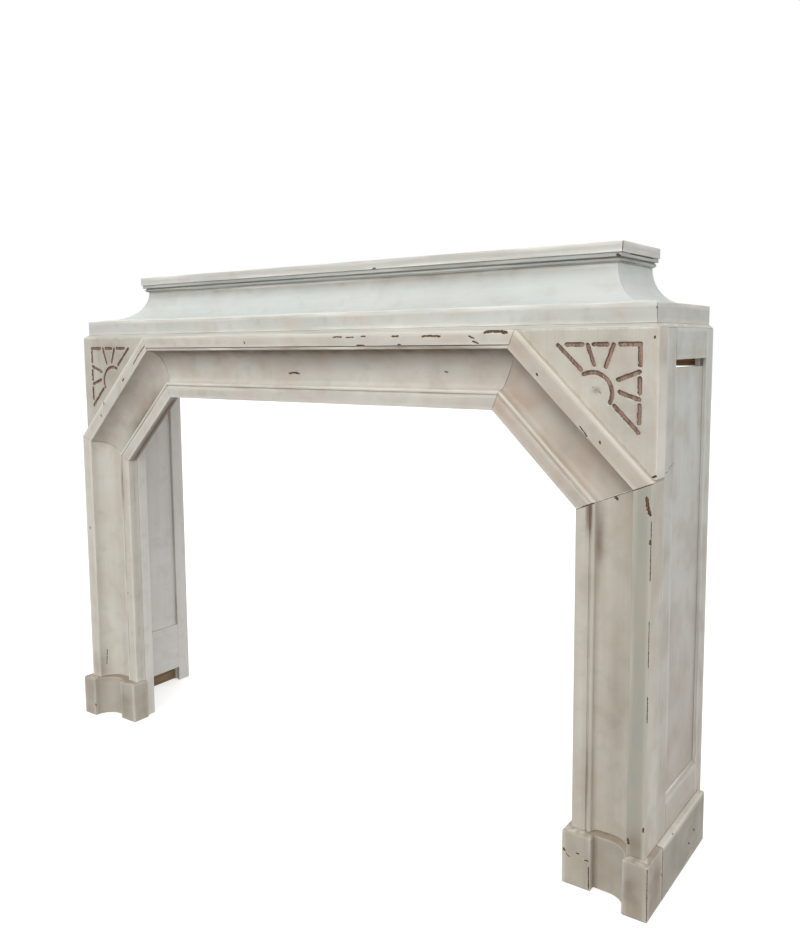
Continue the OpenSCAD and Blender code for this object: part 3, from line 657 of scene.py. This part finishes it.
plinth_paint = paint("oil_paint_plinth", "#c4bfb4", "#b4aea1", "#a89985", 0.7, 0.8, worn="#dedad0")
block_low, block_high = box("plinth_block_right")
block_w, block_d = block_high.x - block_low.x, block_high.y - block_low.y
hollow_in, hollow_out = 55.5, 124     # where the hollow starts and ends across the block
block_section = section(
    [(0, band_set, 2.5), (hollow_in, band_set, 2.2), (hollow_in, hollow_set, 0.8),
     (hollow_out, hollow_set, 42.4), (hollow_out, 0, 2.5), (block_w, 0, 3.0), (block_w, block_d, 2.3),
     (0, block_d, 2.3)],
    lambda u, v: v > block_d - 0.7,
)
toe, toe_in = block_low.y, block_low.y + band_set
block_marks = {
    "right": (
        [((655, toe_in, 50), (5, 14, 60), 0.9), ((690, toe + 40, 90), (40, 20, 16), 0.4),
         ((745, toe, 55), (34, 14, 70), 0.7), ((block_high.x + 8, toe + 38, 45), (16, 70, 70), 1.1)],
        [([(727, toe + 1, 113), (745, toe, 108)], 2.0, 2.2),
         ([(608, toe_in, 65), (610, toe_in, 62)], 1.8, 1.2),
         ([(634, toe_in, 64), (637, toe_in, 64)], 1.5, 1.2),
         ([(643, toe_in, 57), (655, toe_in, 56)], 1.5, 1.4),
         ([(613, toe_in, 56), (620, toe_in, 53)], 0.8, 1.0),
         ([(656.5, toe_in, 45), (657, toe_in, 22), (657.5, toe_in, 4)], 1.0, 1.5),
         ([(block_high.x - 1, toe + 1, z) for z in (97, 70, 40, 5)], 0.7, 0.7, X - Y, 0.9, 0.6)],
    ),
    "left": (
        [((-640, toe_in, 50), (30, 14, 40), 0.4), ((-740, toe, 60), (30, 14, 40), 0.4)],
        [([(-730, toe, 30), (-728, toe, 26)], 1.8, 1.4)],
    ),
}
for side, mirrored in SIDES:
    stains, scars = block_marks[side]
    moulded("plinth_block_%s_timber" % side, block_section, block_high.z,
            place((block_low.x, block_low.y, 0), X, Y, Z, mirrored), plinth_paint, seed=17 + mirrored,
            stains=stains, scars=scars, chips=1.6, chip_share=0.68, ease=2.2)

# ---- plinth side boards ----
# Thin boards nailed on behind the blocks, along the foot of each side return.

side_low, side_high = box("plinth_side_right")
face = side_high.x
# side_paint grows paler and cooler from 0.15 m up to 0.85 m: painted light, brighter higher up
side_paint = paint("oil_paint_side", "#bdb5ab", "#b1a99f", "#ab9d8d", 0.5, 1.0, worn="#dfe0db",
                   top=("#cacdc8", 0.15, 0.85))
# foot_paint turns paler over the board's rounded top edge: painted highlight where it faces up
foot_paint = paint("oil_paint_plinth_side", "#9f9b90", "#959084", "#8d8272", 0.5, 1.0, worn="#d4d1c7",
                   top=("#dad6cc", (side_high.z - 2.4) * MM, (side_high.z - 0.8) * MM))
board_section = section(
    [(0, 0, 0.5), (side_high.x - side_low.x, 0, 1.0), (side_high.x - side_low.x, side_high.z, 2.6),
     (0, side_high.z, 0.5)],
    lambda u, v: u < 0.6,
)
board_marks = [
    (line, half, 1.4, X, 0.7) for line, half in (
        ([(face, side_low.y + 0.5, z) for z in (97, 50, 3)], 0.9),
        ([(face, 144, 30), (face, 95, 22), (face, 32, 10)], 0.9),
        ([(face, 58, 36), (face, 64, 31)], 2.0),
        ([(face, 88, 50), (face, 93, 45)], 2.0))]
for side, mirrored in SIDES:
    moulded("plinth_side_%s_timber" % side, board_section, side_high.y - side_low.y - 0.7,
            place((side_low.x, side_low.y + 0.7, 0), X, Z, Y, mirrored), foot_paint,
            scars=() if mirrored else board_marks, seed=19 + mirrored, chips=1.4, chip_share=0.68,
            ease=0.4)

# ---- linings ----
# Narrow boards that deepen the opening's sides behind the legs, up to just behind the corner pieces.

primer = paint("pale_primer", "#f0f0ee", "#ebebe8", "#e9e6e1", 0.3, 0.2, gloss=0.7)
lining_paint = paint("oil_paint_lining", "#eae9e5", "#e1dfdb", "#d8d2ca", 0.4, 0.3)
lining_low, lining_high = box("lining_right")
lining_w, lining_d = lining_high.x - lining_low.x, lining_high.y - lining_low.y
lining_section = section(
    [(0, 0, 0.8), (lining_w, 0, 0.6), (lining_w, lining_d, 0.8), (0, lining_d, 1.2)],
    lambda u, v: u > lining_w - 0.7,
)
for side, mirrored in SIDES:
    moulded("lining_%s_timber" % side, lining_section, lining_high.z,
            place(lining_low + Y * 0.5, X, Y, Z, mirrored), lining_paint, seed=23 + mirrored,
            back=primer, ease=0.5)

# ---- side frames ----
# Each side return is a frame of two stiles and two rails, mortised and tenoned and grooved for a
# panel. The bottom rail's upper edge is chamfered to make a sill.

stile_low, stile_high = box("front_stile_right")
side_t = stile_high.x - stile_low.x
panel_low, panel_high = box("side_panel_right")
groove_out, groove_in = stile_high.x - panel_high.x, stile_high.x - panel_low.x
groove_d, sill_chamfer = 10, 11.5


def groove(edge, into):
    """The corners of the groove for the panel, in a frame piece's edge. into is -1 or 1."""
    return [(groove_in, edge, 0.4), (groove_in, edge + into * groove_d, 0.4),
            (groove_out, edge + into * groove_d, 0.4), (groove_out, edge, 0.4)]


def unpainted_inside(u, v):
    """Whether a point of a frame piece's outline is on its inner face or in its groove."""
    return u > side_t - 0.7 or groove_out - 0.1 < u < groove_in + 0.1


back_low, back_high = box("back_stile_right")
stile_w, back_w = stile_high.y - stile_low.y, back_high.y - back_low.y
front_stile_section = section(
    [(0, 0.7, 0.8), (side_t, 0.7, 0.5), (side_t, stile_w, 0.8)] + groove(stile_w, -1)
    + [(0, stile_w, 1.2)], unpainted_inside,
)
back_stile_section = section(
    [(0, back_w, 1.2), (side_t, back_w, 0.8), (side_t, 0, 0.8)] + groove(0, 1) + [(0, 0, 1.2)],
    unpainted_inside,
)
top_low, top_high = box("top_rail_right")
sill_low, sill_high = box("bottom_rail_right")
rail_h, sill_h = top_high.z - top_low.z, sill_high.z - sill_low.z
top_rail_section = section(
    [(0, rail_h, 0.5), (side_t, rail_h, 0.5), (side_t, 0, 0.8)] + groove(0, 1) + [(0, 0, 1.2)],
    unpainted_inside,
)
bottom_rail_section = section(
    [(0, 0, 0.6), (side_t, 0, 0.6), (side_t, sill_h, 0.8)] + groove(sill_h, -1)
    + [(0, sill_h - sill_chamfer, 1.2)], unpainted_inside,
)
stile_marks = [
    ([(half_width, stile_low.y + 1, 757), (half_width, stile_low.y + 5, 763),
      (half_width, stile_low.y + 16, 764)], 0.6, 0.8, X, 0.8),
    ([(half_width, stile_low.y + 20, 768), (half_width, stile_low.y + 48, 777)], 0.5, 0.5, X, 0.8)]
for side, mirrored in SIDES:
    moulded("front_stile_%s_timber" % side, front_stile_section, stile_high.z,
            place((half_width, stile_low.y, 0), -X, Y, Z, mirrored), side_paint, seed=29 + mirrored,
            back=primer, scars=() if mirrored else stile_marks)
    moulded("back_stile_%s_timber" % side, back_stile_section, stile_high.z,
            place((half_width, back_low.y, 0), -X, Y, Z, mirrored), side_paint, seed=31 + mirrored,
            back=primer)
    for kind, cut, base, inside in (("top", top_rail_section, top_low.z, pine),
                                    ("bottom", bottom_rail_section, sill_low.z, primer)):
        moulded("%s_rail_%s_timber" % (kind, side), cut, back_low.y - stile_high.y - 0.5,
                place((half_width, stile_high.y + 0.25, base), -X, Z, Y, mirrored), side_paint,
                seed=37 + mirrored, back=inside)

# ---- side panels ----
# A thin flat board held loose in the frame's grooves. It has shrunk and dropped, which leaves an
# open slot under the top rail.

panel_w = panel_high.y - panel_low.y
panel_section = section(
    [(0, 0, 0.4), (groove_in - groove_out, 0, 0.4), (groove_in - groove_out, panel_w, 0.4),
     (0, panel_w, 0.4)], lambda u, v: u > groove_in - groove_out - 0.5,
)
for side, mirrored in SIDES:
    moulded("side_panel_%s_timber" % side, panel_section, panel_high.z - panel_low.z,
            place((panel_high.x, panel_low.y, panel_low.z), -X, Y, Z, mirrored), side_paint,
            seed=41 + mirrored, uneven=0.4, back=primer)

# ---- cornice ----
# Mouldings stacked and mitred at the corners: a splayed neck, a flat fascia, a tall cove rising
# from a nearly flat ledge, and a small bed mould. The cove has stayed the cleanest of them. Under
# the shelf's overhang, the bed mould's darker paint and the cove's darker top are painted shade.

cornice_paint = paint("oil_paint_cornice", "#cacdca", "#c0c3bd", "#c9baae", 0.6, 0.6)
neck_paint = paint("oil_paint_neck", "#b6b6af", "#adada5", "#b2a79c", 0.5, 0.6, worn="#cfcec6")
cove_paint = paint("oil_paint_cove", "#c9cecc", "#c1c6c3", "#c8c4bd", 0.4, 0.5)
# the bed mould's paint is much darker than the cornice's: painted shade under the shelf's overhang
bed_mould_shaded_paint = paint("oil_paint_bed_mould", "#a2a7a6", "#999e9b", "#a49d93", 0.5, 0.8, worn="#c3c5c0")
fascia_low, fascia_high = box("fascia_front")
wall = box("wall_rail")[1].y
fascia_x, fascia_y = fascia_high.x, fascia_low.y
side_run = wall - fascia_y
neck_set, neck_side_set = fascia_y - box("spandrel_right")[0].y, half_width - fascia_x
neck_h = fascia_low.z - box("neck_front")[0].z
fascia_h = fascia_high.z - fascia_low.z
cove_low, cove_high = box("cove_front")
cove_h, cove_d = cove_high.z - cove_low.z, cove_high.y - cove_low.y
cove_run, ledge, ledge_rise = 111.5, 39, 4.5   # how far back cove and ledge reach, and the ledge's slope
sole = 88.6     # the level part of the cove's underside
bed_low, bed_high = box("bed_mould_front")
bed_h, bed_back = bed_high.z - bed_low.z, bed_high.y - fascia_y
bead, bead_low = 3.4, 1.35   # the bead's radius, and its foot above the bed mould's
bead_high = bead_low + 2 * bead
neck_back = 41
bead_in = cove_run - 7.5 + bead


def neck_corners(out):
    """The neck's outline, whose foot stands out by that much past the fascia's face."""
    return [(-out, 0, 0.7), (neck_back - out, 0, 0.5), (neck_back - out, neck_h, 0.5),
            (0, neck_h, 0.5)]


cornice = {
    "neck": (neck_corners(neck_set), fascia_low.z - neck_h, neck_paint),
    "fascia": ([(0, 0, 0.8), (22, 0, 0.5), (22, fascia_h, 0.5), (0, fascia_h, 1.4)], fascia_low.z,
               cornice_paint),
    "cove": ([(0, 0, 0.9), (sole, 0, 0.6), (cove_d, cove_d - sole, 0.6), (cove_d, cove_h, 0.5),
              (cove_run, cove_h, 0.6), (cove_run, ledge_rise, 71.8), (ledge, ledge_rise, 2.0)],
             cove_low.z, cove_paint),
    "bed_mould": ([(bead_in, 0, 0.3), (bed_back, 0, 0.5), (bed_back, bed_h, 0.5), (100, bed_h, 0.9),
                   (100, bed_h - 7.5, 0.9), (bead_in, bed_h - 7.5, 0.3), (bead_in, bead_high, 0.2),
                   (bead_in - bead, bead_high, bead - 0.02), (bead_in - bead, bead_low, bead - 0.02),
                   (bead_in, bead_low, 0.2)], bed_low.z, bed_mould_shaded_paint),
}
corner_x, corner_y = fascia_x - 0.5, fascia_y
cornice_marks = {
    "fascia_front": [([(corner_x, corner_y, 1046), (corner_x, corner_y, 1024)], 0.7, 1.2, -Y, 0.7),
                     ([(corner_x, corner_y, 1042), (corner_x, corner_y, 1039)], 1.6, 1.6)],
    "neck_right": [([(half_width - 4, y, 1013), (half_width - 4, y + 18, 1015)], 2.0, 0.4, X, 0.8, 0.3)
                   for y in (-97, -40, 10)],
    "bed_mould_front": [([(646, bed_low.y, 1138), (653, bed_low.y, 1134)], 3.4, 2.4, -Y, 0.7)],
    "bed_mould_right": [([(bed_high.x - 1, y, bed_high.z - 0.6) for y in (17, 140)], 1.3, 2.0, X, 0.3),
                        ([(bed_high.x - 1, y, bed_low.z + 1) for y in (-30, 60)], 1.1, 2.0, X, 0.4)],
}
# painted shade along the top of the cove, under the shelf's edge
shelf_shade_on_cove = [((x, cove_high.y, cove_high.z), (300, 60, 22), 0.6) for x in (-500, -200, 100, 400)]
for kind, (corners, base, finish) in cornice.items():
    inner = max(c[0] for c in corners) - 0.7
    mitre = neck_side_set / neck_set if kind == "neck" else 1.0
    moulded(kind + "_front_timber", section(corners, lambda u, v: u > inner), 2 * fascia_x - 0.6,
            place((0.3 - fascia_x, fascia_y, base), Y, Z, X), finish, low=mitre, high=-mitre,
            seed=len(kind) * 5, stains=shelf_shade_on_cove if kind == "cove" else (),
            scars=cornice_marks.get(kind + "_front", ()))
    if kind == "neck":
        corners = neck_corners(neck_side_set)
        inner = max(c[0] for c in corners) - 0.7
    for side, mirrored in SIDES:
        moulded("%s_%s_timber" % (kind, side), section(corners, lambda u, v: u > inner),
                side_run - 0.3, place((fascia_x, fascia_y + 0.3, base), -X, Z, Y, mirrored), finish,
                low=1 / mitre, seed=len(kind) * 5 + 1 + mirrored,
                scars=cornice_marks.get("%s_%s" % (kind, side), ()))

# ---- shelf ----
# A board of planed softwood with mitred strips glued along its front and sides.

shelf_paint = paint("oil_paint_shelf", "#c7c9c7", "#bcbeb9", "#c4bab0", 0.45, 0.7)
shelf_low, shelf_high = box("shelf_board")
shelf_t = shelf_high.z - shelf_low.z
strip_out = box("shelf_edge_front")[0].y - fascia_y
strip_in = shelf_low.y - fascia_y - 0.3
edge, shelf_corner = fascia_y + strip_out, box("shelf_edge_front")[1].x - 1.0
strip = section(
    [(strip_out, 0, 1.0), (strip_in, 0, 0.4), (strip_in, shelf_t, 0.4), (strip_out, shelf_t, 1.5)],
    lambda u, v: v < 0.2 and u > cove_run + 12,
)
moulded("shelf_edge_front_timber", strip, 2 * fascia_x - 0.8,
        place((0.4 - fascia_x, fascia_y, shelf_low.z), Y, Z, X), shelf_paint, low=1, high=-1, seed=53,
        chips=1.3, scars=[
            ([(105, edge, shelf_low.z + 1), (110, edge, shelf_low.z + 1)], 1.8, 1.2),
            ([(shelf_corner, edge, shelf_low.z + 18), (shelf_corner, edge, shelf_low.z + 9)], 0.6, 1.0),
            ([(shelf_corner, edge, shelf_low.z + 8), (shelf_corner, edge, shelf_low.z + 1)], 1.3, 1.6)])
for side, mirrored in SIDES:
    moulded("shelf_edge_%s_timber" % side, strip, side_run - 0.4,
            place((fascia_x, fascia_y + 0.4, shelf_low.z), -X, Z, Y, mirrored), shelf_paint, low=1,
            seed=57 + mirrored, chips=1.3)
top_board = section(
    [(0.4, 0, 0.4), (wall - shelf_low.y, 0, 0.6), (wall - shelf_low.y, shelf_t, 1.2), (0.4, shelf_t, 0.4)],
    lambda u, v: v < 0.2,
)
moulded("shelf_board_timber", top_board, shelf_high.x - shelf_low.x - 0.6,
        place((shelf_low.x + 0.3, shelf_low.y, shelf_low.z), Y, Z, X), shelf_paint, seed=61, step=6)

# ---- spandrels ----
# Flat triangles of board let in behind the corners. Each is carved by hand with a half sun and its
# rays inside a broken border, cut through the paint so that the grooves show bare brown wood.

spandrel_paint = paint("oil_paint_spandrel", "#cbc8be", "#bfbcb1", "#baa99b", 0.6, 0.8)
carved_wood = softwood("carved_pine", "#a88f80", "#876b5c", "#55443a")
tri_low, tri_high = box("spandrel_right")
# how far in the border starts, how wide and deep the grooves are, and the half sun's radius
carve_side, carve_top, groove_w, cut_d, sun_r = 31.5, 27.5, 7.4, 4.5, 36
# half of the border's strokes and of the rays, measured in from the border's outer corner
strokes = [((0, 0), (35, 0)), ((57, 0), (81, 0)), ((102, 0), (131, 0)), ((46, 1), (59.5, 37.5)),
           ((92, 1), (80.5, 34.5)), ((147, 1), (104, 43))]
strokes += [((a[1], a[0]), (b[1], b[0])) for a, b in strokes]
sun = (83.5, 83.5)


def carved(u, w):
    """How far the carving is cut at points measured in from the border's outer corner, in mm."""
    gap = np.full(u.shape, 1e3)
    for (au, aw), (bu, bw) in strokes:
        length = (bu - au) ** 2 + (bw - aw) ** 2
        t = np.clip(((u - au) * (bu - au) + (w - aw) * (bw - aw)) / length, 0, 1)
        gap = np.minimum(gap, np.hypot(u - au - t * (bu - au), w - aw - t * (bw - aw)))
    angle = np.degrees(np.arctan2(sun[1] - w, sun[0] - u)) - 45
    ring = np.abs(np.hypot(u - sun[0], w - sun[1]) - sun_r)
    ring[np.abs(angle) > 70] = 1e3
    for end in (-70, 70):
        tip = math.radians(45 + end)
        ring = np.minimum(ring, np.hypot(u - sun[0] + sun_r * math.cos(tip),
                                         w - sun[1] + sun_r * math.sin(tip)))
    return np.minimum(gap, ring)


def spandrel(side, mirrored, stains=(), scars=()):
    """A side's carved triangle of board: a fine grid sunk where it is carved, then given its depth."""
    spacing = 1.0
    extent = tri_high.x - tri_low.x
    rows = int(extent / spacing)
    spacing = extent / rows
    index, places = {}, []
    for i in range(rows + 1):
        for j in range(rows + 1 - i):
            index[i, j] = len(places)
            places.append((i * spacing, j * spacing))
    across, down = np.array(places).T
    down = np.minimum(down, tri_high.z - tri_low.z)
    across = np.minimum(across, extent - down)
    rough = np.array([noise.noise(Vector((u * 0.16, w * 0.16, 5.0 + 3 * mirrored)))
                      + 0.7 * noise.noise(Vector((u * 0.7, w * 0.7, 2.0 + 3 * mirrored)))
                      for u, w in places])
    gap = carved(across - carve_side, down - carve_top) + 0.6 * rough
    wall_at = groove_w / 2
    sunk = np.clip((wall_at + 0.35 - gap) / 0.9, 0, 1)
    floor_wave = np.array([noise.noise(Vector((u * 0.35, w * 0.35, 9.0))) for u, w in places])
    depth_at = sunk * (cut_d - 0.9 + 0.9 * floor_wave)
    edge_near = np.minimum.reduce([across, down, (extent - across - down) / math.sqrt(2)])
    depth_at += 0.5 * np.exp(-edge_near / 0.8) + 0.12 * (1 + rough)
    verts = [(tri_high.x - u, tri_low.y + d, tri_high.z - w) for u, w, d in zip(across, down, depth_at)]
    faces = []
    for i in range(rows):
        for j in range(rows - i):
            faces.append((index[i, j], index[i + 1, j], index[i, j + 1]))
            if j < rows - i - 1:
                faces.append((index[i + 1, j], index[i + 1, j + 1], index[i, j + 1]))
    mesh = bpy.data.meshes.new("spandrel_%s_timber" % side)
    mesh.from_pydata([Vector(v) * MM for v in verts], [], faces)
    # arris runs along the board's edges and just outside each groove, where the paint turns pale: wear and
    # a painted highlight
    for label, series in (("bare", np.where(sunk > 0.5, 1.0, 0.0)),
                          ("arris", np.exp(-edge_near / 1.6)
                           + 0.8 * np.exp(-np.abs(gap - wall_at - 0.8) / 0.8)),
                          ("recess", np.exp(-np.abs(gap - wall_at) / 1.5))):
        mesh.attributes.new(label, "FLOAT", "POINT").data.foreach_set("value", series.astype(np.float32))
    board = mesh.attributes.new("board", "FLOAT_VECTOR", "POINT")
    board.data.foreach_set("vector", [c * MM for x, y, z in verts for c in (x, y, z)])
    mesh.materials.append(spandrel_paint)
    mesh.materials.append(pine)
    mesh.materials.append(carved_wood)
    cut_in = sunk > 0.62
    for face in mesh.polygons:
        if all(cut_in[v] for v in face.vertices):
            face.material_index = 2
    work = bmesh.new()
    work.from_mesh(mesh)
    bmesh.ops.dissolve_degenerate(work, dist=1e-6, edges=work.edges[:])
    bmesh.ops.remove_doubles(work, verts=work.verts[:], dist=1e-5)
    rim = [e for e in work.edges if e.is_boundary]
    sides = bmesh.ops.extrude_edge_only(work, edges=rim)["geom"]
    for v in sides:
        if isinstance(v, bmesh.types.BMVert):
            v.co.y = tri_high.y * MM
    hem = [e for e in sides if isinstance(e, bmesh.types.BMEdge) and e.is_boundary]
    for face in bmesh.ops.holes_fill(work, edges=hem, sides=0)["faces"]:
        face.material_index = 1
    if mirrored:
        for v in work.verts:
            v.co.x = -v.co.x
    work.to_mesh(mesh)
    work.free()
    finished(stand(mesh.name, mesh), stains, scars)


board_y = tri_low.y
spandrel("right", False,
         stains=[((655, board_y, 903), (9, 6, 7), 0.7), ((690, board_y, 850), (50, 6, 60), 0.2)],
         scars=[([(754, board_y, 993), (754, board_y, 991)], 1.5, 1.6, -Y, 0.4),
                ([(755, board_y, 761), (760, board_y, 763)], 1.8, 2.2),
                ([(648, board_y, 908), (650, board_y, 907)], 1.6, 0.5, -Y, 0.7, 0.42),
                ([(660, board_y, 901), (663, board_y, 898)], 1.8, 0.5, -Y, 0.7, 0.42)])
spandrel("left", True, stains=[((-640, board_y, 940), (110, 6, 110), 0.35)])

# ---- inside ----
# Sawn softwood left bare: ribs and rails that carry the shelf, glue blocks in the corners, and
# beech dowels across the mitres. They only show from behind.

sawn_pine = softwood("sawn_pine", "#b8946c", "#93704c", "#6b5644")
for node, long_axis in (("rib_left", 1), ("rib_centre", 1), ("rib_right", 1), ("frame_rail", 0),
                        ("wall_rail", 0), ("glue_blocks_left", 2), ("glue_blocks_right", 2),
                        ("mitre_dowels", 2)):
    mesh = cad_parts[node].data.copy()
    piece = stand(node + "_timber", mesh)
    work = bmesh.new()
    work.from_mesh(mesh)
    bmesh.ops.remove_doubles(work, verts=work.verts[:], dist=1e-5)
    bmesh.ops.dissolve_limit(work, angle_limit=math.radians(1), verts=work.verts[:], edges=work.edges[:])
    rims = [e for e in work.edges if e.is_manifold and e.calc_face_angle(0) > 0.7]
    bmesh.ops.bevel(work, geom=rims, offset=1.0 * MM, segments=2, affect="EDGES", profile=0.5)
    work.to_mesh(mesh)
    work.free()
    board = mesh.attributes.new("board", "FLOAT_VECTOR", "POINT")
    order = [a for a in (0, 1, 2) if a != long_axis] + [long_axis]
    board.data.foreach_set("vector", [v.co[a] for v in mesh.vertices for a in order])
    mesh.materials.clear()
    mesh.materials.append(sawn_pine)
    mesh.shade_smooth()
    mesh.set_sharp_from_angle(angle=math.radians(38))
    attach(piece, "root")
    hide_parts(node)
